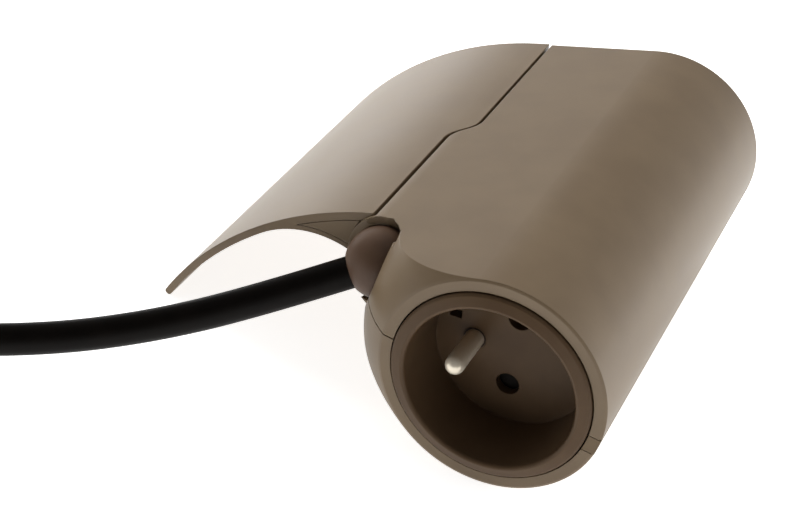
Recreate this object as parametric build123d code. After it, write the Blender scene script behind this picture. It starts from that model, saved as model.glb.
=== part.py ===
from build123d import *
import math
import os

# Furniture socket: a cylinder with a socket well in each end and a curved wing hinged along its side.
# Working frame: x from the cylinder's axis, y from the front face, z from the surface it rests on.

# Housing section
body_radius = 28.0
body_length = 133.6
wall = 2.4
top_slope = 14.8          # the flat top falls away to the left by this angle
hinge_reach = 34.1        # along the flat, from the cylinder's axis to the hinge axis
lug_radius = 10.4         # the rounded left end that holds the hinge
parting_tilt = 7.5        # the joint between the two shells rises to the left
parting_gap = 0.3
rear_edge = 0.8

# Rounded nose at the front left
nose_radius = 27.5
nose_angle = 37.0
nose_end_angle = 82.6     # here the rounded front turns into the lug's flat front
face_edge = 0.6

# Hinge
knuckle_radius = 8.0
swing_gap = 0.4
swing_limit = 50.0
pocket_room = 3.454        # degrees past the place where the root's underside meets its ring
pocket_feather = 262.0
partition = 1.6
rod_radius = 2.0
rod_clearance = 0.05
rod_inset = 2.4
washer_thickness = 0.8
washer_gap = 0.1
washer_radius = 5.6
duct_length = 31.0        # first knuckle, hollow for the cord
middle_knuckle = 14.0
rear_knuckle = 14.0
duct_web = 8.0

# Wing
wing_setback = 25.0
wing_skin = 1.9
wing_straight = 35.0      # flat part, from the flat top's tangent point
wing_radius = 91.0
arch_radius = 26.0
root_turn = 216.546       # where the arch under the wing meets the root's ring
root_roof = 2.1
root_floor = 1.3
root_side = 2.2
root_tip = 6.5
cap_depth = 2.5
cap_gap = 0.15

# Seam between housing and wing, seen from above
seam_front = 36.3         # along the flat, from its tangent point
seam_jog = 5.7
jog_start = 68.5
jog_length = 11.5
seam_gap = 0.9

# Socket insert
shell_thickness = 3.1     # round the socket inserts
lug_hollow_right = -29.4    # the hollow beside the hinge ends here
insert_gap = 0.35
insert_lip = 1.6
insert_rim = 0.8
rim_edge = 0.5
mouth_radius = 20.9
lip_radius = 0.9
well_floor = 15.5         # below the front face
well_floor_radius = 19.7
floor_thickness = 2.5
cup_wall = 1.8
shoulder_depth = 6.0
collar_depth = 4.6
contact_pitch = 19.0
contact_hole_radius = 2.9
earth_offset = 10.0
latch_width = 3.0
latch_height = 2.2
latch_radius = 16.4
latch_angle = 162.0

# Pins and contacts
pin_radius = 2.4
shank_radius = 2.8        # the earth pin's thicker part, seated in the floor and the block
shank_gap = 0.04
earth_length = 14.5
sleeve_bore = 2.5
sleeve_wall = 0.7
sleeve_length = 13.0
sleeve_slit = 1.0
bar_width = 4.6
bar_thickness = 0.8
earth_bar_width = 8.0
earth_bar_thickness = 1.0

# Contact block
block_length = 17.5
block_gap = 0.2
pocket_radius = 3.7
pocket_slot = 0.3

# Shutter behind the contact holes
shutter_thickness = 1.9
shutter_half_width = 4.2
shutter_gap = 0.2
shutter_stroke = 6.4
shutter_land = 3.1        # cover on each side of a hole's centre
shutter_arm = 3.0
spring_offset = 7.6
spring_coil = 0.8
spring_wire = 0.2
spring_turns = 6
spring_stop = 8.0
stop_thickness = 1.6

# Ribs and screws in the shells
rib_thickness = 2.0
front_rib_radius = 22.0
back_rib_radius = 17.0
rib_clearance = 0.2
screw_radius = 1.5
screw_clearance = 0.06
screw_head_radius = 2.8
screw_head_height = 2.2
screw_length = 24.0
recess_length = 3.2
recess_width = 0.8
recess_height = 1.6
boss_radius = 4.0
boss_x = 18.6
head_clearance = 0.4
head_seat = 12.0

# Key in the shells' joint at the front right
key_height = 4.4
key_depth = 9.0
key_gap = 0.15

# Cable gland and cord
ball_radius = 8.9
ball_setback = 20.0
ball_clearance = 0.2
flare_radius = 11.3
recess_depth = 3.4
seat_wall = 3.0
collar_radius = 8.9       # round cut in the flat top, above the ball
collar_along = 35.5       # its centre, along the flat from the flat's tangent point
collar_setback = 15.0
collar_cut = 2.0
port_distance = 7.6
gland_stem_radius = 4.3
gland_stem_length = 12.0
gland_flange_radius = 5.4
gland_flange = 1.6
duct_radius = 4.5
cord_radius = 4.0
cord_lift = 0.1
core_radius = 1.35
core_circle = 1.9
core_turn = 4.0
core_gap = 0.05
core_to_bore = 0.2
neutral_bend = (1.1, 2.1, 6.9)  # outside the bore, below the hinge axis, inside the bore
earth_bend = (0.1, 2.8, 4.9)

# Put-away coil, tie and plug, left of the object
coil_inner_turn = 44.0
coil_layers = 3
coil_corner = 2.4
tie_width = 6.0
tie_thickness = 0.9
tie_gap = 0.2
tie_angle = 35.0
tail_run = 14.0
tail_end = 11.5
tail_length = 52.0
tail_side = (0.4, 2.4, 4.2)   # the tail's bends, to the right of the coil's left edge
tail_drop = (0.4, 1.8)        # and below the coil's top turn
plug_sleeve = 22.0
plug_sleeve_radius = 5.2
plug_neck_radius = 7.5
plug_grip_radius = 13.0
plug_grip = 20.0
plug_head = 17.0
plug_radius = 18.5
plug_flat = 16.8
plug_edge = 1.2
plug_pin_length = 19.0
plug_earth_radius = 2.5
plug_earth_depth = 16.0
clip_width = 6.4
clip_thickness = 0.8
clip_length = 14.0

# Places worked out from the sizes above
axis_z = body_radius
bore_radius = body_radius - shell_thickness
slope = math.radians(top_slope)
along = Vector(-math.cos(slope), 0, -math.sin(slope))
outward = Vector(-math.sin(slope), 0, math.cos(slope))
axis_point = Vector(0, 0, axis_z)
flat_start = axis_point + outward * body_radius
lug_front = nose_radius * (math.cos(math.radians(nose_angle)) - math.cos(math.radians(nose_end_angle)))
hinge_point = axis_point + outward * (body_radius - lug_radius) + along * hinge_reach
hinge_x = hinge_point.X
hinge_z = hinge_point.Z
flat_end = flat_start + along * hinge_reach
wing_start = flat_start + along * wing_straight
wing_centre = wing_start - outward * wing_radius
tip_height = wing_skin / 2 - wing_centre.Z
wing_end_angle = 90 - math.degrees(math.asin(tip_height / (wing_radius - wing_skin / 2)))
pocket_turn = root_turn + pocket_room
ring_radius = knuckle_radius + swing_gap
slot_radius = lug_radius + swing_gap
seam_front_x = (flat_start + along * seam_front).X
seam_rear_x = (flat_start + along * (seam_front - seam_jog)).X
jog_end = jog_start + jog_length
top_reach = 3 * body_radius
insert_radius = bore_radius - insert_gap
mid_y = body_length / 2
coil_outer_turn = coil_inner_turn + 2 * cord_radius
coil_base = tie_thickness + 2 * tie_gap
cord_bend = (-180.76, -45.6, coil_base + cord_radius)
cord_tangent = (-206.66, -47.9, coil_base + cord_radius)
cord_approach = (Vector(*cord_tangent) - Vector(*cord_bend)).normalized()
right_of_cord = Vector(cord_approach.Y, -cord_approach.X, 0)
coil_centre = Vector(cord_tangent[0], cord_tangent[1], 0) + right_of_cord * coil_outer_turn
plug_x = coil_centre.X - coil_outer_turn + tail_side[2]
plug_z = plug_radius + cord_lift
plug_start = coil_centre.Y + tail_length


def polar(centre, radius, degrees):
    angle = math.radians(degrees)
    return Vector(centre.X + radius * math.cos(angle), 0, centre.Z + radius * math.sin(angle))


def flat(point):
    return (point.X, point.Z)


def arc(centre, radius, start, end):
    middle = (start + end) / 2
    return ThreePointArc(flat(polar(centre, radius, start)), flat(polar(centre, radius, middle)),
                         flat(polar(centre, radius, end)))


def prism(section, start, end):
    """Extrude a section in x and z from one y to another."""
    return extrude(Plane.XZ.offset(-start) * section, amount=start - end)


def rod_along_y(x, z, radius, start, end):
    return prism(Pos(x, z) * Circle(radius), start, end)


def block_between(low, high):
    size = [high[i] - low[i] for i in range(3)]
    centre = [(high[i] + low[i]) / 2 for i in range(3)]
    return Pos(*centre) * Box(*size)


def round_profile(points_edges):
    """Turn a profile in radius and y about the cylinder's axis."""
    face = make_face(points_edges)
    turned = revolve(face, axis=Axis.Y)
    return Pos(0, 0, axis_z) * turned


def circles_meet(centre_a, radius_a, centre_b, radius_b, side):
    dx = centre_b.X - centre_a.X
    dz = centre_b.Z - centre_a.Z
    distance = math.hypot(dx, dz)
    reach = (radius_a ** 2 - radius_b ** 2 + distance ** 2) / (2 * distance)
    rise = math.sqrt(radius_a ** 2 - reach ** 2) * side
    return Vector(centre_a.X + (reach * dx - rise * dz) / distance, 0,
                  centre_a.Z + (reach * dz + rise * dx) / distance)


def arch_centre():
    """The arch under the wing touches the wing's inside and meets the root's ring at its turn."""
    foot = polar(hinge_point, ring_radius, root_turn)
    return circles_meet(wing_centre, wing_radius - wing_skin - arch_radius, foot, arch_radius, 1)


def arch_start_angle():
    centre = arch_centre()
    return math.degrees(math.atan2(centre.Z - wing_centre.Z, centre.X - wing_centre.X))


def hull_section(inset):
    """Round body and hinge lug joined by their two common tangents, drawn inside the outline by inset."""
    big = body_radius - inset
    small = lug_radius - inset
    distance = (hinge_point - axis_point).length
    towards = math.degrees(math.atan2(hinge_z - axis_z, hinge_x))
    half = math.degrees(math.acos((big - small) / distance))
    top = towards - half
    low = towards + half
    upper_line = Line(flat(polar(axis_point, big, top)), flat(polar(hinge_point, small, top)))
    lower_line = Line(flat(polar(hinge_point, small, low)), flat(polar(axis_point, big, low)))
    return make_face([upper_line, arc(hinge_point, small, top, low), lower_line,
                      arc(axis_point, big, low, top + 360)])


def nose():
    """What the rounded front leaves: a flat face, a rounded shoulder and the lug's flat front."""
    start = math.radians(nose_angle)
    end = math.radians(nose_end_angle)
    centre_r = body_radius - nose_radius * math.sin(start)
    centre_y = nose_radius * math.cos(start)
    middle = (start + end) / 2
    mid_point = (centre_r + nose_radius * math.sin(middle), centre_y - nose_radius * math.cos(middle))
    side_r = centre_r + nose_radius * math.sin(end)
    edges = [
        Line((0, 0), (body_radius - face_edge, 0)),
        Line((body_radius - face_edge, 0), (body_radius, face_edge / 2)),
        ThreePointArc((body_radius, face_edge / 2), mid_point, (side_r, lug_front)),
        Line((side_r, lug_front), (top_reach, lug_front)),
        Line((top_reach, lug_front), (top_reach, body_length)),
        Line((top_reach, body_length), (0, body_length)),
        Line((0, body_length), (0, 0)),
    ]
    return round_profile(edges)


def seam_line(offset):
    """The joint seen from above: straight, a soft jog, straight, moved sideways by offset."""
    front = seam_front_x + offset
    rear = seam_rear_x + offset
    return [
        Line((front, 0), (front, jog_start)),
        Spline([(front, jog_start), (rear, jog_end)], tangents=[(0, 1), (0, 1)]),
        Line((rear, jog_end), (rear, body_length + 2)),
    ]


def beside_seam(offset, side_x):
    """Everything above the hinge axis on one side of the seam."""
    edges = seam_line(offset)
    start = (seam_front_x + offset, 0)
    end = (seam_rear_x + offset, body_length + 2)
    edges.append(Line(end, (side_x, body_length + 2)))
    edges.append(Line((side_x, body_length + 2), (side_x, 0)))
    edges.append(Line((side_x, 0), start))
    return extrude(Pos(0, 0, hinge_z) * make_face(edges), amount=top_reach)


def knuckles():
    """Stretches of the hinge along y: name, start and end."""
    duct_end = wing_setback + duct_length
    room = body_length - rear_knuckle - duct_end
    wing_length = (room - middle_knuckle) / 2
    middle_start = duct_end + wing_length
    return {
        "duct": (ball_setback, duct_end),
        "wing_a": (duct_end, middle_start),
        "middle": (middle_start, middle_start + middle_knuckle),
        "wing_b": (middle_start + middle_knuckle, body_length - rear_knuckle),
        "rear": (body_length - rear_knuckle, body_length),
    }


hinge_spans = knuckles()
wing_spans = [hinge_spans["wing_a"], hinge_spans["wing_b"]]
washer_room = washer_thickness + 2 * washer_gap


def lug_pocket():
    """Room round the knuckles for the wing's root, over its whole swing."""
    above = beside_seam(0, -top_reach)
    pocket_end = polar(hinge_point, slot_radius, pocket_turn + swing_limit).X
    below = block_between((-top_reach, wing_setback - swing_gap, 0), (pocket_end, body_length + 1, hinge_z))
    below = below & rod_along_y(hinge_x, hinge_z, slot_radius, 0, body_length + 1)
    feather_x = polar(hinge_point, slot_radius, pocket_feather).X
    side = block_between((-top_reach, wing_setback - swing_gap, 0), (feather_x, body_length + 1, hinge_z))
    knuckle = rod_along_y(hinge_x, hinge_z, knuckle_radius, 0, body_length + 1)
    room = above + below + side
    room = room - block_between((-top_reach, 0, -1), (top_reach, wing_setback - swing_gap, top_reach))
    room = room - knuckle
    for start, end in wing_spans:
        room = room + rod_along_y(hinge_x, hinge_z, ring_radius + swing_gap, start, end)
    return room


def rib(y, inner):
    ring = prism(Pos(0, axis_z) * Circle(bore_radius + 1), y, y + rib_thickness)
    return ring - rod_along_y(0, axis_z, inner, y - 1, y + rib_thickness + 1)


def window_y():
    """Middle of the window that lets the cores out of the duct."""
    return wing_setback + duct_length - duct_web - duct_radius


def boss_places():
    first = window_y() + core_circle + core_radius + core_gap + boss_radius
    return [(x, y) for x in (-boss_x, boss_x) for y in (first, body_length - first)]


def upright(x, y, radius, low, high):
    return Pos(x, y, low) * extrude(Circle(radius), amount=high - low)


def ball_seat():
    """Round seat for the gland, with a flared lip, a stem bore and the duct behind it."""
    centre = Pos(hinge_x, ball_setback, hinge_z)
    seat = centre * Sphere(ball_radius + ball_clearance)
    flare = centre * Sphere(flare_radius)
    flare = flare & block_between((-top_reach, 0, 0), (0, ball_setback + recess_depth, top_reach))
    collar_top = flat_start + along * collar_along
    collar = Plane(origin=(collar_top.X, collar_setback, collar_top.Z), z_dir=outward) * Cylinder(
        collar_radius, 2 * collar_cut)
    stem_end = ball_setback + gland_stem_length
    stem = rod_along_y(hinge_x, hinge_z, duct_radius, ball_setback, hinge_spans["duct"][1] - duct_web)
    groove = rod_along_y(hinge_x, hinge_z, gland_flange_radius + ball_clearance,
                         stem_end - gland_flange - ball_clearance, stem_end + ball_clearance)
    window = Pos(hinge_x, window_y(), hinge_z) * Rot(0, 90, 0) * extrude(Circle(duct_radius), amount=-hinge_x - boss_x)
    return seat + flare + collar + stem + groove + window


def housing():
    """Both shells in one piece, before they are parted."""
    outer = prism(hull_section(0), 0, body_length)
    rear = outer.faces().sort_by(Axis.Y)[-1]
    outer = fillet(rear.edges(), rear_edge)
    outer = outer & nose()
    lug_hollow = prism(hull_section(wall), ball_setback + recess_depth + seat_wall, body_length - wall)
    lug_hollow = lug_hollow & block_between((lug_hollow_right, 0, 0),
                                            (0, body_length, top_reach))
    lug_hollow = lug_hollow - rod_along_y(hinge_x, hinge_z, ring_radius + partition, 0, body_length)
    shell = outer - rod_along_y(0, axis_z, bore_radius, -1, body_length + 1)
    shell = shell - lug_hollow - lug_pocket()
    for y, inner in rib_places():
        shell = shell + rib(y, inner)
    for x, y in boss_places():
        column = upright(x, y, boss_radius, 0, 2 * body_radius)
        column = column & prism(hull_section(wall / 2), 0, body_length)
        shell = shell + column
    bored = shell - ball_seat()
    for x, y in boss_places():
        bored = bored - upright(x, y, screw_radius + screw_clearance, head_seat - 1,
                                head_seat + screw_length + screw_clearance)
        bored = bored - upright(x, y, screw_head_radius + head_clearance, -1, head_seat)
    rod_start = hinge_spans["duct"][1] - duct_web + rod_inset
    bored = bored - rod_along_y(hinge_x, hinge_z, rod_radius, rod_start, body_length - rod_inset)
    return bored


def rib_places():
    front = shoulder_depth + rib_clearance
    back = well_floor + floor_thickness + shutter_thickness + 2 * shutter_gap + block_length + rib_clearance
    places = [(front, front_rib_radius), (back, back_rib_radius)]
    mirrored = [(body_length - y - rib_thickness, inner) for y, inner in places]
    return places + mirrored


def parting_space(side):
    """Half space above (side 1) or below (side -1) the tilted joint, through the cylinder's axis."""
    reach = 2 * top_reach
    half = Pos(0, 0, side * (reach / 2 + parting_gap / 2)) * Box(2 * reach, 4 * reach, reach)
    return Pos(0, 0, axis_z) * Rot(0, parting_tilt, 0) * half


def key_space(gap):
    """The key beside the shells' joint, on the right of the front face."""
    centre_r = (bore_radius + body_radius) / 2
    key = Box(2 * centre_r, 2 * key_depth, key_height + 2 * gap)
    key = Pos(centre_r, 0, -key_height / 2) * key
    tilted = Pos(0, 0, axis_z) * Rot(0, parting_tilt, 0) * key
    band = rod_along_y(0, axis_z, body_radius + gap, 0, key_depth + gap)
    band = band - rod_along_y(0, axis_z, bore_radius - gap, -1, key_depth + 1 + gap)
    band = band - rib(shoulder_depth + rib_clearance, front_rib_radius)
    return tilted & band


def shells():
    whole = housing() - key_space(key_gap)
    return whole & parting_space(1), whole & parting_space(-1)


def wing_section():
    tip_outer = polar(wing_centre, wing_radius, 90 + wing_end_angle)
    tip_mid_r = wing_radius - wing_skin / 2
    tip_turn = math.degrees(wing_skin / 2 / tip_mid_r)
    tip_nose = polar(wing_centre, tip_mid_r, 90 + wing_end_angle + tip_turn)
    inner = wing_radius - wing_skin
    tip_inner = polar(wing_centre, inner, 90 + wing_end_angle)
    centre = arch_centre()
    foot = polar(hinge_point, ring_radius, root_turn)
    arch_end = math.degrees(math.atan2(foot.Z - centre.Z, foot.X - centre.X))
    seam_top = flat_start + along * (seam_front - seam_jog)
    side = seam_top.X - hinge_x
    top_angle = math.degrees(math.acos(side / ring_radius))
    ring_top = polar(hinge_point, ring_radius, top_angle)
    edges = [
        Line(flat(seam_top), flat(wing_start)),
        arc(wing_centre, wing_radius, 90 + top_slope, 90 + wing_end_angle),
        ThreePointArc(flat(tip_outer), flat(tip_nose), flat(tip_inner)),
        arc(wing_centre, inner, 90 + wing_end_angle, arch_start_angle()),
        arc(centre, arch_radius, arch_start_angle(), arch_end),
        arc(hinge_point, ring_radius, root_turn, top_angle),
        Line(flat(ring_top), flat(seam_top)),
    ]
    return make_face(edges)


def root_hollow_section(inset):
    """The long hollow in the wing's root: roof, floor and a side that follows the hinge."""
    roof = Pos(*flat(wing_centre)) * Circle(wing_radius - root_roof - inset)
    below_flat = flat_start - outward * (root_roof + inset)
    turned = Rot(0, 0, top_slope) * Pos(0, -top_reach) * Rectangle(4 * top_reach, 2 * top_reach)
    under = Pos(below_flat.X, below_flat.Z) * turned
    floor_hole = Pos(*flat(arch_centre())) * Circle(arch_radius + root_floor + inset)
    side = Pos(*flat(hinge_point)) * Circle(lug_radius + inset)
    tip_x = polar(wing_centre, wing_radius, arch_start_angle()).X + root_tip + inset
    span = Pos((tip_x + hinge_x) / 2, hinge_z) * Rectangle(hinge_x - tip_x, 2 * lug_radius + 2)
    section = (roof & under & span) - floor_hole - side
    return section.faces().sort_by(SortBy.AREA)[-1]


def wing():
    solid = prism(wing_section(), wing_setback, body_length)
    right_of_seam = beside_seam(-seam_gap, top_reach)
    solid = solid - right_of_seam
    for start, end in wing_spans:
        low = start + washer_room
        high = end - washer_room
        solid = solid + rod_along_y(hinge_x, hinge_z, ring_radius, low, high)
        solid = solid - rod_along_y(hinge_x, hinge_z, rod_radius + rod_clearance, low - 1, high + 1)
    hollow = prism(root_hollow_section(0), wing_setback - 1, body_length + 1)
    return solid - hollow


def wing_cap(start, end):
    return prism(root_hollow_section(cap_gap), start, end)


def hinge_rod():
    start = hinge_spans["duct"][1] - duct_web + rod_inset
    return rod_along_y(hinge_x, hinge_z, rod_radius, start, body_length - rod_inset)


def hinge_washers():
    rings = []
    for start, end in wing_spans:
        for y in (start + washer_gap, end - washer_room + washer_gap):
            ring = rod_along_y(hinge_x, hinge_z, washer_radius, y, y + washer_thickness)
            rings.append(ring - rod_along_y(hinge_x, hinge_z, rod_radius + rod_clearance, y - 1, y + 2))
    return Compound(rings)


def insert_profile():
    """Rim, rounded mouth, well wall and floor, then the cup and collar behind."""
    mouth_y = -insert_lip + lip_radius
    lip_centre = mouth_radius + lip_radius
    back = well_floor + floor_thickness
    cup_outer = well_floor_radius + cup_wall
    corner = lip_radius * math.sqrt(0.5)
    return [
        Line((0, well_floor), (well_floor_radius, well_floor)),
        Line((well_floor_radius, well_floor), (mouth_radius, mouth_y)),
        ThreePointArc((mouth_radius, mouth_y), (lip_centre - corner, mouth_y - corner), (lip_centre, -insert_lip)),
        Line((lip_centre, -insert_lip), (insert_radius - rim_edge, -insert_rim)),
        Line((insert_radius - rim_edge, -insert_rim), (insert_radius, -insert_rim + rim_edge)),
        Line((insert_radius, -insert_rim + rim_edge), (insert_radius, shoulder_depth)),
        Line((insert_radius, shoulder_depth), (cup_outer, shoulder_depth)),
        Line((cup_outer, shoulder_depth), (cup_outer, back + collar_depth)),
        Line((cup_outer, back + collar_depth), (cup_outer - cup_wall, back + collar_depth)),
        Line((cup_outer - cup_wall, back + collar_depth), (cup_outer - cup_wall, back)),
        Line((cup_outer - cup_wall, back), (0, back)),
        Line((0, back), (0, well_floor)),
    ]


def socket_insert():
    body = round_profile(insert_profile())
    back = well_floor + floor_thickness
    for side in (-1, 1):
        z = axis_z + side * contact_pitch / 2
        body = body - rod_along_y(0, z, contact_hole_radius, well_floor - 1, back + 1)
    body = body - rod_along_y(-earth_offset, axis_z, shank_radius + shank_gap, well_floor - 1, back + 1)
    latch = polar(axis_point, latch_radius, latch_angle)
    body = body - block_between((latch.X - latch_width / 2, well_floor - 1, latch.Z - latch_height / 2),
                                (latch.X + latch_width / 2, back + 1, latch.Z + latch_height / 2))
    stop_z = axis_z + spring_stop
    stop = block_between((spring_offset - spring_coil, back, stop_z),
                         (spring_offset + spring_coil + spring_wire, back + shutter_thickness, stop_z + stop_thickness))
    return body + stop


def earth_pin():
    back = well_floor + floor_thickness + shutter_thickness + 2 * shutter_gap + block_length
    tip = well_floor - earth_length
    free = rod_along_y(-earth_offset, axis_z, pin_radius, tip + pin_radius, well_floor + 1)
    shank = rod_along_y(-earth_offset, axis_z, shank_radius, well_floor, back)
    dome = Pos(-earth_offset, tip + pin_radius, axis_z) * Sphere(pin_radius)
    return free + shank + dome


def contact_block():
    start = well_floor + floor_thickness + shutter_thickness + 2 * shutter_gap
    end = start + block_length
    block = rod_along_y(0, axis_z, well_floor_radius - block_gap, start, end)
    block = block - rod_along_y(-earth_offset, axis_z, shank_radius + shank_gap, start - 1, end + 1)
    for side in (-1, 1):
        z = axis_z + side * contact_pitch / 2
        block = block - rod_along_y(0, z, pocket_radius, start - 1, end + 1)
        strip_z = z + side * (sleeve_bore + sleeve_wall - bar_thickness / 2)
        half = bar_width / 2 + pocket_slot
        block = block - block_between((-half, start - 1, strip_z - bar_thickness / 2 - pocket_slot),
                                      (half, end + 1, strip_z + bar_thickness / 2 + pocket_slot))
    return block


def contact_bar(side):
    """A brass bar with a split sleeve at each end, one for each socket."""
    z = axis_z + side * contact_pitch / 2
    first = well_floor + floor_thickness + shutter_thickness + 2 * shutter_gap + shutter_gap
    outer = sleeve_bore + sleeve_wall
    bar = None
    for start in (first, body_length - first - sleeve_length):
        tube = rod_along_y(0, z, outer, start, start + sleeve_length)
        tube = tube - rod_along_y(0, z, sleeve_bore, start - 1, start + sleeve_length + 1)
        inward = z - 2 * side * outer
        tube = tube - block_between((-sleeve_slit / 2, start - 1, min(z, inward)),
                                    (sleeve_slit / 2, start + sleeve_length + 1, max(z, inward)))
        bar = tube if bar is None else bar + tube
    far = z + side * outer
    near = far - side * bar_thickness
    strip = block_between((-bar_width / 2, first, min(far, near)),
                          (bar_width / 2, body_length - first, max(far, near)))
    return bar + strip


def earth_bar():
    back = well_floor + floor_thickness + shutter_thickness + 2 * shutter_gap + block_length
    half = earth_bar_width / 2
    right = -earth_offset + half
    left = -earth_offset - half
    thick = earth_bar_thickness
    bar = block_between((left, back, axis_z - half), (left + thick, body_length - back, axis_z + half))
    for start in (back, body_length - back - thick):
        bar = bar + block_between((left, start, axis_z - half), (right, start + thick, axis_z + half))
    return bar


def shutter_low():
    return axis_z - contact_pitch / 2 - shutter_land


def shutter():
    """A plate that covers both holes, with one window that slides into line when it is pushed up."""
    front = well_floor + floor_thickness + shutter_gap
    rear = front + shutter_thickness
    top = axis_z + contact_pitch / 2 + shutter_land
    plate = block_between((-shutter_half_width, front, shutter_low()), (shutter_half_width, rear, top))
    window_z = axis_z + contact_pitch / 2 - shutter_stroke
    plate = plate - rod_along_y(0, window_z, contact_hole_radius, front - 1, rear + 1)
    arm = block_between((0, front, shutter_low()), (spring_offset + spring_coil, rear, shutter_low() + shutter_arm))
    return plate + arm


def shutter_spring():
    low = shutter_low() + shutter_arm + spring_wire + rib_clearance
    high = axis_z + spring_stop - spring_wire - rib_clearance
    pitch = (high - low) / spring_turns
    path = Helix(pitch=pitch, height=high - low, radius=spring_coil - spring_wire)
    profile = Plane(origin=path @ 0, z_dir=path % 0) * RegularPolygon(spring_wire, 6)
    coil = sweep(profile, path=path, is_frenet=True)
    y = well_floor + floor_thickness + shutter_gap + shutter_thickness / 2
    return Pos(spring_offset, y, low) * coil


def lock_key():
    return key_space(0)


def screws():
    group = []
    recess = Box(recess_length, recess_width, recess_height) + Box(recess_width, recess_length, recess_height)
    for x, y in boss_places():
        shank = upright(x, y, screw_radius, head_seat, head_seat + screw_length)
        head = upright(x, y, screw_head_radius, head_seat - screw_head_height, head_seat)
        cross = Pos(x, y, head_seat - screw_head_height) * recess
        group.append(shank + head - cross)
    return Compound(group)


def port_direction():
    return Vector(-0.80, -0.42, -0.43).normalized()


def ball_centre():
    return Vector(hinge_x, ball_setback, hinge_z)


def cable_gland():
    """A ball moulded on the cord, with a stem and a flange that the shells trap."""
    centre = ball_centre()
    ball = Pos(*centre) * Sphere(ball_radius)
    port = Plane(origin=centre + port_direction() * port_distance, z_dir=port_direction())
    ball = ball - port * Pos(0, 0, ball_radius) * Box(4 * ball_radius, 4 * ball_radius, 2 * ball_radius)
    stem_end = ball_setback + gland_stem_length
    stem = rod_along_y(hinge_x, hinge_z, gland_stem_radius, ball_setback, stem_end)
    flange = rod_along_y(hinge_x, hinge_z, gland_flange_radius, stem_end - gland_flange, stem_end)
    return ball + stem + flange


def tube_along(points, radius, radii):
    path = FilletPolyline(*points, radius=radii)
    profile = Plane(origin=path @ 0, z_dir=path % 0) * Circle(radius)
    return sweep(profile, path=path)


def corner_radii(points):
    """Each corner's arc: 0.45 of its shorter run, over the tangent of half the turn."""
    radii = []
    for before, corner, after in zip(points, points[1:], points[2:]):
        first = Vector(*corner) - Vector(*before)
        second = Vector(*after) - Vector(*corner)
        turn = math.radians(first.get_angle(second))
        radii.append(0.45 * min(first.length, second.length) / math.tan(turn / 2))
    return radii


def cord_lead_points():
    port = ball_centre() + port_direction() * port_distance
    straight = port + port_direction() * 25.4
    return [
        tuple(port),
        tuple(straight),
        (-84.5, -4.9, 13.3),
        (-106.0, -16.2, 7.4),
        (-130.5, -29.4, 5.3),
        (-155.46, -39.5, 5.3),
        cord_bend,
        cord_tangent,
    ]


def cord_tail_points():
    left = coil_centre.X - coil_outer_turn
    y = coil_centre.Y
    top_turn = coil_base + (2 * coil_layers - 1) * cord_radius
    return [
        (left, y, top_turn),
        (left + tail_side[0], y + tail_run, top_turn - tail_drop[0]),
        (left + tail_side[1], y + 2 * tail_run, top_turn - tail_drop[1]),
        (plug_x, plug_start - tail_end, plug_z),
        (plug_x, plug_start, plug_z),
    ]


def cord_coil():
    inner = coil_inner_turn - cord_radius
    outer = coil_outer_turn + cord_radius
    height = 2 * cord_radius * coil_layers
    outline = Pos((inner + outer) / 2, coil_base + height / 2) * Rectangle(outer - inner, height)
    section = chamfer(outline.vertices(), coil_corner)
    return Pos(*coil_centre) * revolve(Plane.XZ * section, axis=Axis.Z)


def cord_tie():
    middle = coil_inner_turn + cord_radius
    width = 4 * cord_radius
    height = 2 * cord_radius * coil_layers
    outer = 2 * (tie_gap + tie_thickness)
    band = Box(width + outer, tie_width, height + outer) - Box(width + 2 * tie_gap, 2 * tie_width,
                                                               height + 2 * tie_gap)
    band = fillet(band.edges().filter_by(Axis.Y).group_by(SortBy.DISTANCE)[-1], tie_thickness)
    placed = Rot(0, 0, tie_angle) * Pos(middle, 0, coil_base + height / 2) * band
    return Pos(*coil_centre) * placed


def plug_body():
    """Straight plug: tapered sleeve, waisted grip and a round head with two flats and an earth hole."""
    neck_y = plug_start + plug_sleeve
    grip_y = neck_y + plug_grip
    face_y = grip_y + plug_head
    edges = [
        Line((0, plug_start), (plug_sleeve_radius, plug_start)),
        Line((plug_sleeve_radius, plug_start), (plug_neck_radius, neck_y)),
        Spline([(plug_neck_radius, neck_y), (plug_grip_radius, neck_y + plug_grip / 2), (plug_radius, grip_y)],
               tangents=[(1, 0.6), (0, 1)]),
        Line((plug_radius, grip_y), (plug_radius, face_y - plug_edge)),
        Line((plug_radius, face_y - plug_edge), (plug_radius - plug_edge, face_y)),
        Line((plug_radius - plug_edge, face_y), (0, face_y)),
        Line((0, face_y), (0, plug_start)),
    ]
    body = Pos(plug_x, 0, plug_z) * revolve(make_face(edges), axis=Axis.Y)
    for side in (-1, 1):
        far = plug_x + side * 2 * plug_radius
        near = plug_x + side * plug_flat
        body = body - block_between((min(far, near), grip_y - 4, -1), (max(far, near), face_y + 1, 3 * plug_radius))
        deep = plug_x + side * (plug_flat - clip_thickness)
        body = body - block_between((min(near, deep), face_y - clip_length, plug_z - clip_width / 2),
                                    (max(near, deep), face_y + 1, plug_z + clip_width / 2))
    earth = rod_along_y(plug_x + earth_offset, plug_z, plug_earth_radius, face_y - plug_earth_depth, face_y + 1)
    return body - earth


def plug_face():
    return plug_start + plug_sleeve + plug_grip + plug_head


def plug_pins():
    pins = []
    for side in (-1, 1):
        z = plug_z + side * contact_pitch / 2
        shank = rod_along_y(plug_x, z, pin_radius, plug_face(), plug_face() + plug_pin_length - pin_radius)
        dome = Pos(plug_x, plug_face() + plug_pin_length - pin_radius, z) * Sphere(pin_radius)
        pins.append(shank + dome)
    return Compound(pins)


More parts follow.
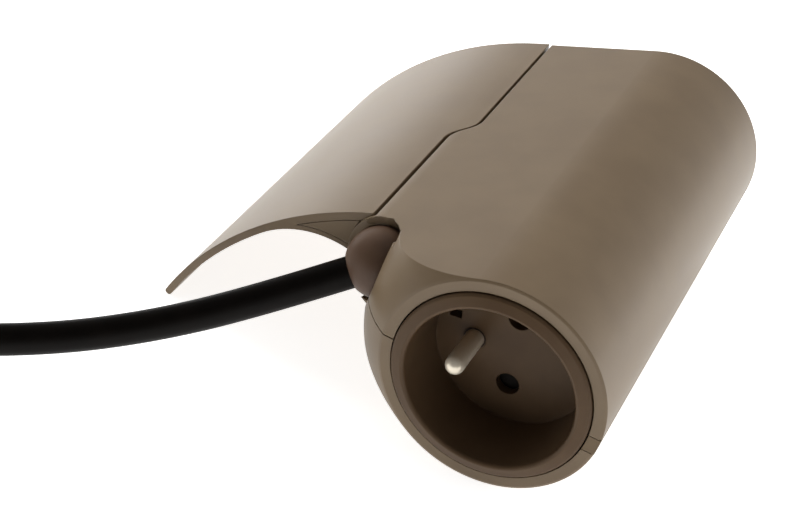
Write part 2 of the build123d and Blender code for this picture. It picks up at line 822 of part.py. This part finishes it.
def plug_earth_clips():
    clips = []
    for side in (-1, 1):
        near = plug_x + side * plug_flat
        deep = plug_x + side * (plug_flat - clip_thickness)
        clips.append(block_between((min(near, deep), plug_face() - clip_length, plug_z - clip_width / 2),
                                   (max(near, deep), plug_face(), plug_z + clip_width / 2)))
    return Compound(clips)


def core_start(degrees):
    angle = math.radians(degrees)
    return (hinge_x + core_circle * math.cos(angle), ball_setback + gland_stem_length,
            hinge_z + core_circle * math.sin(angle))


def core(degrees, rest):
    """One core of the cord, from the gland's stem through the duct window to its bar."""
    start = core_start(degrees)
    points = [start, (start[0], window_y() - (start[0] - hinge_x), start[2])] + rest
    return tube_along(points, core_radius, [core_turn] * (len(points) - 2))


def cores():
    middle_y = window_y()
    near_y = middle_y - core_circle
    far_y = middle_y + core_circle
    bar_reach = contact_pitch / 2 + sleeve_bore + sleeve_wall - bar_thickness / 2
    edge_x = -bar_width / 2
    line_z = axis_z + bar_reach
    line_x = -math.sqrt((bore_radius - core_radius - core_to_bore) ** 2 - bar_reach ** 2)
    neutral_z = axis_z - bar_reach
    earth_z = axis_z + earth_bar_width / 4
    earth_x = -earth_offset - earth_bar_width / 2
    return {
        "core_line": core(90, [(line_x, middle_y, line_z), (edge_x, middle_y, line_z)]),
        "core_neutral": core(210, [(-bore_radius - neutral_bend[0], far_y, hinge_z - neutral_bend[1]),
                                   (-bore_radius + neutral_bend[2], far_y, neutral_z),
                                   (edge_x, far_y, neutral_z)]),
        "core_earth": core(330, [(-bore_radius - earth_bend[0], near_y, hinge_z - earth_bend[1]),
                                 (-bore_radius + earth_bend[2], near_y, earth_z), (earth_x, near_y, earth_z)]),
    }


def mirrored(part):
    """The same part for the socket in the rear end."""
    return mirror(part, about=Plane.XZ.offset(-mid_y))


def overall_left():
    tip_x = polar(wing_centre, wing_radius - wing_skin / 2, 90 + wing_end_angle).X
    return tip_x - wing_skin / 2


place = Pos(-(overall_left() + body_radius) / 2, -mid_y, 0)


def write(name, part):
    part = place * part
    part.label = name
    export_step(part, "parts/" + name + ".step")


def main():
    os.makedirs("parts", exist_ok=True)
    upper, lower = shells()
    write("upper_shell", upper)
    write("lower_shell", lower)
    write("wing", wing())
    write("wing_cap_front", wing_cap(wing_setback, wing_setback + cap_depth))
    write("wing_cap_rear", wing_cap(body_length - cap_depth, body_length))
    write("hinge_rod", hinge_rod())
    write("hinge_washers", hinge_washers())
    fittings = {"socket_insert": socket_insert(), "earth_pin": earth_pin(), "contact_block": contact_block(),
                "shutter": shutter(), "shutter_spring": shutter_spring()}
    for name, part in fittings.items():
        write(name + "_front", part)
        write(name + "_rear", mirrored(part))
    write("line_bar", contact_bar(1))
    write("neutral_bar", contact_bar(-1))
    write("earth_bar", earth_bar())
    write("lock_key", lock_key())
    write("shell_screws", screws())
    write("cable_gland", cable_gland())
    for name, part in cores().items():
        write(name, part)
    lead = cord_lead_points()
    tail = cord_tail_points()
    write("cord_lead", tube_along(lead, cord_radius, corner_radii(lead)))
    write("cord_tail", tube_along(tail, cord_radius, corner_radii(tail)))
    write("cord_coil", cord_coil())
    write("cord_tie", cord_tie())
    write("plug_body", plug_body())
    write("plug_pins", plug_pins())
    write("plug_earth_clips", plug_earth_clips())
    print("corner radii of the lead", [round(r, 1) for r in corner_radii(lead)])
    print("corner radii of the tail", [round(r, 1) for r in corner_radii(tail)])
    print("coil centre", tuple(coil_centre), "plug axis", plug_x, plug_z, "plug face", plug_face())
    print("shift to the finished frame", tuple(place.position))


main()
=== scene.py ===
import math

import bmesh
import bpy
from mathutils import Matrix, Vector


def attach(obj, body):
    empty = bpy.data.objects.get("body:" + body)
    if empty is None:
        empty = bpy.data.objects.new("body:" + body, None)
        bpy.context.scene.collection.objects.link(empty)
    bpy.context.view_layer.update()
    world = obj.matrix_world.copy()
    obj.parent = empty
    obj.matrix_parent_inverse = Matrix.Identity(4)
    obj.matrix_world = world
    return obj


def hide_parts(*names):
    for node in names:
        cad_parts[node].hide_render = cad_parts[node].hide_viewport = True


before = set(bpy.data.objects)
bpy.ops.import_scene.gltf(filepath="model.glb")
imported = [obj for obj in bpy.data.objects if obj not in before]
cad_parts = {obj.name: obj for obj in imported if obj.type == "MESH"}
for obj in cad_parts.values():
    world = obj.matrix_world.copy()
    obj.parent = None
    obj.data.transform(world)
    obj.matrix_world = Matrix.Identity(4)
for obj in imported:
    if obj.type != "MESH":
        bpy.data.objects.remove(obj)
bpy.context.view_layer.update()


# camera: worked out from the round rings and straight edges that the photograph shows
photoCamera = {
    "eye": (0.11885, -0.37965, 0.27531),
    "right": (0.90587, 0.40532, 0.12292),
    "down": (0.32291, -0.47310, -0.81970),
    "forward": (-0.27408, 0.78223, -0.55945),
    "lens": 80.28,
    "sensor": 36.0,
    "near": 0.01,
    "far": 30.0,
}


def makeCamera(settings):
    cameraData = bpy.data.cameras.new("photoCamera")
    cameraData.lens = settings["lens"]
    cameraData.sensor_width = settings["sensor"]
    cameraData.clip_start = settings["near"]
    cameraData.clip_end = settings["far"]
    camera = bpy.data.objects.new("photoCamera", cameraData)
    bpy.context.scene.collection.objects.link(camera)
    right = Vector(settings["right"])
    up = -Vector(settings["down"])
    back = -Vector(settings["forward"])
    turned = Matrix((right, up, back)).transposed().to_4x4()
    camera.matrix_world = Matrix.Translation(settings["eye"]) @ turned
    bpy.context.scene.camera = camera


makeCamera(photoCamera)
print("camera ready")


# cord: a black PVC lead that comes down to the floor and goes on to a put-away coil
cordSettings = {
    "diameter": 0.008,
    "length": 1.8,
    "lead": [
        (-0.008579, -0.049990, 0.033040),
        (-0.028885, -0.060651, 0.022125),
        (-0.049538, -0.071700, 0.013300),
        (-0.071038, -0.083000, 0.007400),
        (-0.095538, -0.096200, 0.005300),
        (-0.120498, -0.106300, 0.005300),
        (-0.145798, -0.112400, 0.005300),
        (-0.171698, -0.114700, 0.005300),
    ],
    "coilCentre": (-0.176298, -0.062904),
    "coilStart": -84.93,  # degrees, where the lead meets the first turn
    "coilEnd": -180.0,
    "pointsPerTurn": 18,
    "turns": [  # radius and height of each turn, in the order in which they are laid
        (0.052, 0.0053),
        (0.044, 0.0053),
        (0.044, 0.0133),
        (0.052, 0.0133),
        (0.044, 0.0213),
        (0.052, 0.0213),
    ],
    "changeover": 0.22,  # share of a turn over which the cord moves to the next place
    "tail": [
        (-0.228298, -0.062904, 0.0213),
        (-0.227898, -0.048904, 0.0209),
        (-0.225898, -0.034904, 0.0195),
        (-0.224098, -0.022404, 0.0186),
        (-0.224098, -0.010904, 0.0186),
    ],
    "splineOrder": 3,
    "stepsPerPoint": 10,
    "rounding": 8,
}


def easeStep(value):
    value = min(1.0, max(0.0, value))
    return value * value * (3 - 2 * value)


def coilRoute(settings):
    turns = settings["turns"]
    wholeTurns = len(turns) - 1
    sweep = settings["coilStart"] - settings["coilEnd"] + 360 * wholeTurns
    count = round(sweep / 360 * settings["pointsPerTurn"])
    cornerOut = 1 / math.cos(math.radians(sweep / count / 2))  # the spline runs inside its points
    route = []
    for step in range(1, count):
        turned = step / count * sweep
        index = min(wholeTurns, int(turned // 360))
        radius, height = turns[index]
        if index < wholeTurns:
            intoTurn = turned / 360 - index
            share = easeStep((intoTurn - 1 + settings["changeover"]) / settings["changeover"])
            nextRadius, nextHeight = turns[index + 1]
            radius += (nextRadius - radius) * share
            height += (nextHeight - height) * share
        angle = math.radians(settings["coilStart"] - turned)
        x = settings["coilCentre"][0] + radius * cornerOut * math.cos(angle)
        y = settings["coilCentre"][1] + radius * cornerOut * math.sin(angle)
        route.append((x, y, height))
    return route


def makeCord(settings):
    route = settings["lead"] + coilRoute(settings) + settings["tail"]
    curve = bpy.data.curves.new("blackLead", "CURVE")
    curve.dimensions = "3D"
    curve.bevel_depth = 1.0  # times each point's radius, so that the curve's own box is true
    curve.bevel_resolution = settings["rounding"]
    curve.use_fill_caps = True
    curve.resolution_u = settings["stepsPerPoint"]
    spline = curve.splines.new("NURBS")
    spline.points.add(len(route) - 1)
    for point, place in zip(spline.points, route):
        point.co = (*place, 1)
        point.radius = settings["diameter"] / 2
    spline.order_u = settings["splineOrder"]
    spline.use_endpoint_u = True
    lead = bpy.data.objects.new("blackLead", curve)
    bpy.context.scene.collection.objects.link(lead)
    return lead


# tie: a soft black strap, drawn tight round the turns that pass it
tieSettings = {
    "angle": 35.0,  # degrees round the coil, where the strap sits
    "turnsHeld": 5,
    "gap": 0.00015,
    "thickness": 0.0009,
    "width": 0.006,
    "steps": 72,
}


def makeTie(settings, cord):
    held = cord["turns"][:settings["turnsHeld"]]
    inside = cord["diameter"] / 2 + settings["gap"]
    outside = inside + settings["thickness"]
    turned = math.radians(settings["angle"])
    outwards = Vector((math.cos(turned), math.sin(turned), 0))
    onwards = Vector((-math.sin(turned), math.cos(turned), 0)) * settings["width"] / 2
    middle = Vector((*cord["coilCentre"], 0))
    shape = bmesh.new()
    loops = []
    for reach, side in ((inside, -1), (inside, 1), (outside, 1), (outside, -1)):
        circle = bmesh.ops.create_circle(shape, segments=settings["steps"], radius=1.0)["verts"]
        loops.append(shape.edges[:][-settings["steps"]:])  # the edges of this circle, the newest ones
        for corner in circle:
            across, up = corner.co.x, corner.co.y
            # rounded to a micron, so that of two turns that reach as far, the first one laid counts
            radius, height = max(held, key=lambda place: round(place[0] * across + place[1] * up, 6))
            level = Vector((0, 0, height + reach * up))
            corner.co = middle + outwards * (radius + reach * across) + onwards * side + level
    for loop, nextLoop in zip(loops, loops[1:] + loops[:1]):
        bmesh.ops.bridge_loops(shape, edges=loop + nextLoop)
    bmesh.ops.recalc_face_normals(shape, faces=shape.faces)
    mesh = bpy.data.meshes.new("rubberTie")
    shape.to_mesh(mesh)
    shape.free()
    tie = bpy.data.objects.new("rubberTie", mesh)
    bpy.context.scene.collection.objects.link(tie)
    return tie


tie = makeTie(tieSettings, cordSettings)
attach(tie, "housing")
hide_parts("cord_tie")
lead = makeCord(cordSettings)
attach(lead, "housing")
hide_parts("cord_lead", "cord_coil", "cord_tail")
print("cord ready")


# material helpers: colours are sRGB hex values, and a pattern's scale comes from its size in metres
def hexColour(code):
    channels = [int(code[i:i + 2], 16) / 255 for i in (1, 3, 5)]
    linear = [c / 12.92 if c <= 0.04045 else ((c + 0.055) / 1.055) ** 2.4 for c in channels]
    return (*linear, 1.0)


def addNode(tree, kind, settings=None, links=None):
    node = tree.nodes.new(kind)
    for name, value in (settings or {}).items():
        if name in node.inputs:
            node.inputs[name].default_value = value
        else:
            setattr(node, name, value)
    for name, source in (links or {}).items():
        tree.links.new(source, node.inputs[name])
    return node


def startMaterial(name):
    material = bpy.data.materials.new(name)
    material.use_nodes = True
    material.node_tree.nodes.clear()
    return material, material.node_tree


def dressNodes(material, *names):
    for name in names:
        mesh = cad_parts[name].data
        mesh.materials.clear()
        mesh.materials.append(material)


def finishMaterial(tree, settings, links):
    shader = addNode(tree, "ShaderNodeBsdfPrincipled", settings, links)
    addNode(tree, "ShaderNodeOutputMaterial", links={"Surface": shader.outputs["BSDF"]})


# moulded plastic: an even colour with a slight flow mottle, a grain that softens the gloss, and edges that
# are as round as a mould leaves them. Real grain is about 0.1 mm, and is drawn coarser so that it shows.
plasticLook = {
    "mottleDetail": 3.0,
    "mottleEnds": (0.35, 0.65),  # where the noise is fully dark and fully light
    "grainDetail": 2.0,
    "edgeSamples": 6,
    "sheenSpread": 0.03,  # how far the mottle moves the roughness either way
}


def mouldedPlastic(name, settings, look):
    material, tree = startMaterial(name)
    place = addNode(tree, "ShaderNodeTexCoord").outputs["Object"]
    mottle = addNode(tree, "ShaderNodeTexNoise",
                     {"Scale": 1 / settings["mottleSize"], "Detail": look["mottleDetail"]},
                     {"Vector": place})
    tint = addNode(tree, "ShaderNodeValToRGB", links={"Fac": mottle.outputs["Fac"]})
    for end, position, tone in zip(tint.color_ramp.elements, look["mottleEnds"], ("dark", "light")):
        end.position = position
        end.color = hexColour(settings[tone])
    grain = addNode(tree, "ShaderNodeTexNoise",
                    {"Scale": 1 / settings["grainSize"], "Detail": look["grainDetail"]},
                    {"Vector": place})
    edge = addNode(tree, "ShaderNodeBevel",
                   {"Radius": settings["edgeRadius"], "samples": look["edgeSamples"]})
    bump = addNode(tree, "ShaderNodeBump",
                   {"Strength": settings["grainStrength"], "Distance": settings["grainDepth"]},
                   {"Height": grain.outputs["Fac"], "Normal": edge.outputs["Normal"]})
    sheen = addNode(tree, "ShaderNodeMapRange",
                    {"To Min": settings["roughness"] - look["sheenSpread"],
                     "To Max": settings["roughness"] + look["sheenSpread"]},
                    {"Value": mottle.outputs["Fac"]})
    finishMaterial(tree, {"IOR": settings["ior"], "Specular IOR Level": settings["specular"]},
                   {"Base Color": tint.outputs["Color"], "Roughness": sheen.outputs["Result"],
                    "Normal": bump.outputs["Normal"]})
    return material


# spark-eroded ABS: its fine, even grain spreads the highlights into broad soft sheens
shellPlastic = {
    "dark": "#76644e", "light": "#7b6952", "mottleSize": 0.012,
    "grainSize": 0.00035, "grainStrength": 0.12, "grainDepth": 0.00004,
    "edgeRadius": 0.0003, "roughness": 0.36, "ior": 1.54, "specular": 0.28,
}
# moulded ABS: a small insert, a little darker and duller than the shells beside it
keyPlastic = {
    "dark": "#6b583f", "light": "#705d44", "mottleSize": 0.004,
    "grainSize": 0.00035, "grainStrength": 0.12, "grainDepth": 0.00004,
    "edgeRadius": 0.0003, "roughness": 0.42, "ior": 1.54, "specular": 0.28,
}
# moulded PC: dark brown and smooth, with weak reflections
insertPlastic = {
    "dark": "#554230", "light": "#5a4734", "mottleSize": 0.010,
    "grainSize": 0.00035, "grainStrength": 0.10, "grainDepth": 0.00004,
    "edgeRadius": 0.0004, "roughness": 0.34, "ior": 1.54, "specular": 0.12,
}
# moulded soft PVC: reddish brown, with a wide, dull highlight on the ball
glandPvc = {
    "dark": "#584335", "light": "#5e493a", "mottleSize": 0.006,
    "grainSize": 0.0004, "grainStrength": 0.15, "grainDepth": 0.00005,
    "edgeRadius": 0.0004, "roughness": 0.44, "ior": 1.52, "specular": 0.22,
}
# extruded PVC: nearly black, with a faint highlight along its top
cordPvc = {
    "dark": "#0b0806", "light": "#100c09", "mottleSize": 0.008,
    "grainSize": 0.0005, "grainStrength": 0.12, "grainDepth": 0.00005,
    "edgeRadius": 0.0003, "roughness": 0.5, "ior": 1.52, "specular": 0.1,
}
# moulded PVC: black, with softer edges and a coarser grain than the cord
plugPvc = {
    "dark": "#110e0c", "light": "#161311", "mottleSize": 0.008,
    "grainSize": 0.0005, "grainStrength": 0.2, "grainDepth": 0.00006,
    "edgeRadius": 0.0006, "roughness": 0.5, "ior": 1.52, "specular": 0.3,
}
# moulded urea resin: cream, chalky and dull
blockPlastic = {
    "dark": "#cbc5b6", "light": "#d4cebf", "mottleSize": 0.01,
    "grainSize": 0.0005, "grainStrength": 0.15, "grainDepth": 0.00005,
    "edgeRadius": 0.0003, "roughness": 0.55, "ior": 1.5, "specular": 0.4,
}
# moulded nylon: near black and dull, a painted shade that makes the contact holes look deep
shutterPlastic = {
    "dark": "#14100c", "light": "#191410", "mottleSize": 0.004,
    "grainSize": 0.0004, "grainStrength": 0.15, "grainDepth": 0.00005,
    "edgeRadius": 0.0002, "roughness": 0.6, "ior": 1.5, "specular": 0.12,
}
# moulded nylon: grey and waxy
washerNylon = {
    "dark": "#8a8a86", "light": "#92928e", "mottleSize": 0.004,
    "grainSize": 0.0004, "grainStrength": 0.1, "grainDepth": 0.00004,
    "edgeRadius": 0.0002, "roughness": 0.5, "ior": 1.53, "specular": 0.4,
}
mouldedPieces = [
    ("spark-eroded ABS, taupe", shellPlastic,
     ["upper_shell", "lower_shell", "wing", "wing_cap_front", "wing_cap_rear"]),
    ("moulded ABS, tan", keyPlastic, ["lock_key"]),
    ("moulded PC, brown", insertPlastic, ["socket_insert_front", "socket_insert_rear"]),
    ("moulded soft PVC, brown", glandPvc, ["cable_gland"]),
    ("moulded urea resin, cream", blockPlastic, ["contact_block_front", "contact_block_rear"]),
    ("moulded nylon, dark brown", shutterPlastic, ["shutter_front", "shutter_rear"]),
    ("moulded nylon, grey", washerNylon, ["hinge_washers"]),
]
for materialName, settings, nodeNames in mouldedPieces:
    dressNodes(mouldedPlastic(materialName, settings, plasticLook), *nodeNames)
plugMaterial = mouldedPlastic("moulded PVC, black", plugPvc, plasticLook)
dressNodes(plugMaterial, "plug_body")
tie.data.materials.append(plugMaterial)  # the same soft moulding
lead.data.materials.append(mouldedPlastic("extruded PVC, black", cordPvc, plasticLook))


# extruded PVC insulation: brown, blue, and green with yellow bands, all with a low even sheen
coreSettings = {
    "colours": {
        "core_line": {"first": "#5a3a22", "second": "#55361f", "bandPitch": 0.015708},
        "core_neutral": {"first": "#2a5fa8", "second": "#285a9f", "bandPitch": 0.015708},
        "core_earth": {"first": "#5c8f2e", "second": "#c9bf3a", "bandPitch": 0.005236},
    },
    "waveTurn": 20.0,  # radians of wave that the node lays on one metre at a scale of 1
    "bandStart": 0.6,
    "roughness": 0.45,
    "ior": 1.52,
}


def wireInsulation(name, settings, colours):
    material, tree = startMaterial(name)
    place = addNode(tree, "ShaderNodeTexCoord").outputs["Object"]
    bandScale = math.tau / settings["waveTurn"] / colours["bandPitch"]
    band = addNode(tree, "ShaderNodeTexWave", {"Scale": bandScale, "bands_direction": "Z"},
                   {"Vector": place})
    tint = addNode(tree, "ShaderNodeValToRGB", links={"Fac": band.outputs["Fac"]})
    tint.color_ramp.interpolation = "CONSTANT"
    tint.color_ramp.elements[0].color = hexColour(colours["first"])
    tint.color_ramp.elements[1].position = settings["bandStart"]
    tint.color_ramp.elements[1].color = hexColour(colours["second"])
    finishMaterial(tree, {"Roughness": settings["roughness"], "IOR": settings["ior"]},
                   {"Base Color": tint.outputs["Color"]})
    return material


for coreName, colours in coreSettings["colours"].items():
    dressNodes(wireInsulation("extruded PVC, " + coreName, coreSettings, colours), coreName)


# metals: fine turned or drawn lines blur the highlight across them. The lines are drawn coarser than the
# real ones, which are under 0.1 mm, so that they show. A stretch below 1 lengthens them along that axis.
metalLook = {
    "lineDetail": 2.0,
    "lineDepth": 0.00002,
}


def workedMetal(name, settings, look):
    material, tree = startMaterial(name)
    place = addNode(tree, "ShaderNodeTexCoord").outputs["Object"]
    stretched = addNode(tree, "ShaderNodeMapping", {"Scale": settings["stretch"]}, {"Vector": place})
    lines = addNode(tree, "ShaderNodeTexNoise",
                    {"Scale": 1 / settings["lineSize"], "Detail": look["lineDetail"]},
                    {"Vector": stretched.outputs["Vector"]})
    tint = addNode(tree, "ShaderNodeValToRGB", links={"Fac": lines.outputs["Fac"]})
    for end, tone in zip(tint.color_ramp.elements, ("dark", "light")):
        end.color = hexColour(settings[tone])
    bump = addNode(tree, "ShaderNodeBump",
                   {"Strength": settings["lineStrength"], "Distance": look["lineDepth"]},
                   {"Height": lines.outputs["Fac"]})
    finishMaterial(tree, {"Metallic": settings["metallic"], "Roughness": settings["roughness"]},
                   {"Base Color": tint.outputs["Color"], "Normal": bump.outputs["Normal"]})
    return material


# satin nickel plate: pale and soft; its warm tint is partly painted reflection of the brown well, matched
# to the look of the pin in the well
nickelPlate = {
    "dark": "#f0e3cb", "light": "#faf0de", "stretch": (0.15, 1.0, 0.15),
    "lineSize": 0.0003, "lineStrength": 0.15, "roughness": 0.22, "metallic": 0.35,
}
# bright nickel plate: greyer, with clearer reflections
plugNickel = {
    "dark": "#aaa69c", "light": "#bdb9b0", "stretch": (0.15, 1.0, 0.15),
    "lineSize": 0.0003, "lineStrength": 0.1, "roughness": 0.28, "metallic": 1.0,
}
# zinc plate: bluish grey, lightly mottled and without lines
zincPlate = {
    "dark": "#9a9c9e", "light": "#b6b8ba", "stretch": (1.0, 1.0, 1.0),
    "lineSize": 0.0006, "lineStrength": 0.1, "roughness": 0.32, "metallic": 1.0,
}
# stamped brass: yellow, with the strip's drawn lines along it
brassStrip = {
    "dark": "#b08a3c", "light": "#c9a455", "stretch": (1.0, 0.1, 1.0),
    "lineSize": 0.0004, "lineStrength": 0.15, "roughness": 0.3, "metallic": 1.0,
}
# bare brass, painted dark brown and dull: partly the shank's own colour, partly painted shade at the foot
# of the pin
seatBrass = {
    "dark": "#2b2018", "light": "#3a2c20", "stretch": (1.0, 0.2, 1.0),
    "lineSize": 0.0005, "lineStrength": 0.3, "roughness": 0.6, "metallic": 0.6,
}
metalPieces = [
    ("turned brass, satin nickel plated", nickelPlate, ["earth_pin_front", "earth_pin_rear"]),
    ("turned brass, bright nickel plated", plugNickel, ["plug_pins", "plug_earth_clips"]),
    ("drawn steel, zinc plated", zincPlate,
     ["hinge_rod", "shell_screws", "shutter_spring_front", "shutter_spring_rear"]),
    ("stamped brass, bare", brassStrip, ["line_bar", "neutral_bar", "earth_bar"]),
]
for materialName, settings, nodeNames in metalPieces:
    dressNodes(workedMetal(materialName, settings, metalLook), *nodeNames)


# the plating ends where the pin's thicker shank starts, level with the floor of the well, and the shank is
# painted dark as shade at the pin's foot
pinSettings = {
    "platedLength": 0.0145,  # from the tip
    "margin": 0.00005,
}
seatMaterial = workedMetal("turned brass, painted shade", seatBrass, metalLook)


def barePinShank(name, settings):
    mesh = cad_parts[name].data
    mesh.materials.append(seatMaterial)
    ys = [corner.co.y for corner in mesh.vertices]
    tip = min(ys) if name.endswith("front") else max(ys)
    for face in mesh.polygons:
        if abs(face.center.y - tip) > settings["platedLength"] - settings["margin"]:
            face.material_index = 1


for pinName in ("earth_pin_front", "earth_pin_rear"):
    barePinShank(pinName, pinSettings)
print("materials ready")


# stage: a pale floor under soft lamps, strong on the left, weaker low behind it and on the right, and faint
# in front. The camera sees floor and sky as white; reflections and bounced light get their own shares.
stageSettings = {
    "floorSize": 6.0,
    "floorColour": "#f2f1ee",
    "glowColour": "#ffffff",
    "cameraLift": 0.82,  # how strongly the floor glows where the camera sees it
    "floorGloss": 0.7,  # the same in reflections
    "floorBounce": 0.9,  # and in the light that it throws back
    "skyColour": "#ffffff",
    "skyStrength": 0.42,
    "skyLean": 0.95,  # share by which the rear half is stronger and the front half weaker
    "horizonGloss": 1.15,  # how much of the sky reflections show at the horizon
    "ceilingGloss": 0.25,  # and from the ceiling's height upwards
    "ceilingHeight": 0.55,
    "lampTarget": (0, 0, 0.03),
}
lamps = [
    {"name": "leftSoftbox", "place": (-0.95, 0.68, 0.75), "size": (0.9, 0.9), "power": 17.0,
     "inReflections": False},
    {"name": "leftRearPanel", "place": (-0.95, 0.95, 0.10), "size": (1.4, 0.16), "power": 1.4,
     "inReflections": True},
    {"name": "rightSoftbox", "place": (1.1, 0.35, 0.52), "size": (0.8, 0.8), "power": 5.9,
     "inReflections": True},
    {"name": "frontSoftbox", "place": (0.2, -1.4, 0.5), "size": (1.0, 1.0), "power": 0.05,
     "inReflections": True},
]


def makeFloor(settings):
    mesh = bpy.data.meshes.new("paleFloor")
    shape = bmesh.new()
    bmesh.ops.create_grid(shape, x_segments=1, y_segments=1, size=settings["floorSize"] / 2)
    shape.to_mesh(mesh)
    shape.free()
    material, tree = startMaterial("matt paint, pale")
    paint = addNode(tree, "ShaderNodeBsdfDiffuse", {"Color": hexColour(settings["floorColour"])})
    path = addNode(tree, "ShaderNodeLightPath")
    shares = {
        "Is Camera Ray": settings["cameraLift"],
        "Is Glossy Ray": settings["floorGloss"],
        "Is Diffuse Ray": settings["floorBounce"],
    }
    strength = None
    for ray, share in shares.items():
        term = addNode(tree, "ShaderNodeMath", {"operation": "MULTIPLY_ADD"})
        tree.links.new(path.outputs[ray], term.inputs[0])
        term.inputs[1].default_value = share
        term.inputs[2].default_value = 0.0
        if strength:
            tree.links.new(strength, term.inputs[2])
        strength = term.outputs["Value"]
    glow = addNode(tree, "ShaderNodeEmission", {"Color": hexColour(settings["glowColour"])},
                   {"Strength": strength})
    both = addNode(tree, "ShaderNodeAddShader")
    tree.links.new(paint.outputs["BSDF"], both.inputs[0])
    tree.links.new(glow.outputs["Emission"], both.inputs[1])
    addNode(tree, "ShaderNodeOutputMaterial", links={"Surface": both.outputs["Shader"]})
    mesh.materials.append(material)
    floor = bpy.data.objects.new("paleFloor", mesh)
    bpy.context.scene.collection.objects.link(floor)


def makeWorld(settings):
    world = bpy.data.worlds.new("studioWhite")
    world.use_nodes = True
    tree = world.node_tree
    tree.nodes.clear()
    path = addNode(tree, "ShaderNodeLightPath")
    seen = addNode(tree, "ShaderNodeMath", {"operation": "MAXIMUM"})
    tree.links.new(path.outputs["Is Camera Ray"], seen.inputs[0])
    tree.links.new(path.outputs["Is Transmission Ray"], seen.inputs[1])
    direction = addNode(tree, "ShaderNodeTexCoord").outputs["Generated"]
    parts = addNode(tree, "ShaderNodeSeparateXYZ", links={"Vector": direction}).outputs
    gloss = addNode(tree, "ShaderNodeMapRange",
                    {"From Max": settings["ceilingHeight"], "To Min": settings["horizonGloss"],
                     "To Max": settings["ceilingGloss"]},
                    {"Value": parts["Z"]})
    leant = addNode(tree, "ShaderNodeMapRange",
                    {"From Min": -1.0, "From Max": 1.0,
                     "To Min": settings["skyStrength"] * (1 - settings["skyLean"]),
                     "To Max": settings["skyStrength"] * (1 + settings["skyLean"])},
                    {"Value": parts["Y"]})
    share = addNode(tree, "ShaderNodeMix", {"A": 1.0},
                    {"Factor": path.outputs["Is Glossy Ray"], "B": gloss.outputs["Result"]})
    soft = addNode(tree, "ShaderNodeMath", {"operation": "MULTIPLY"})
    tree.links.new(leant.outputs["Result"], soft.inputs[0])
    tree.links.new(share.outputs["Result"], soft.inputs[1])
    strength = addNode(tree, "ShaderNodeMapRange", {"To Max": 1.0},
                       {"Value": seen.outputs["Value"], "To Min": soft.outputs["Value"]})
    sky = addNode(tree, "ShaderNodeBackground", {"Color": hexColour(settings["skyColour"])},
                  {"Strength": strength.outputs["Result"]})
    addNode(tree, "ShaderNodeOutputWorld", links={"Surface": sky.outputs["Background"]})
    bpy.context.scene.world = world


def makeLamps(entries, target):
    for entry in entries:
        lampData = bpy.data.lights.new(entry["name"], "AREA")
        lampData.shape = "RECTANGLE"
        lampData.size, lampData.size_y = entry["size"]
        lampData.energy = entry["power"]
        lamp = bpy.data.objects.new(entry["name"], lampData)
        lamp.location = entry["place"]
        lamp.visible_glossy = entry["inReflections"]
        facing = Vector(target) - Vector(entry["place"])
        lamp.rotation_euler = facing.to_track_quat("-Z", "Y").to_euler()
        bpy.context.scene.collection.objects.link(lamp)


makeFloor(stageSettings)
makeWorld(stageSettings)
makeLamps(lamps, stageSettings["lampTarget"])
bpy.context.scene.view_settings.view_transform = "Standard"
print("stage ready")
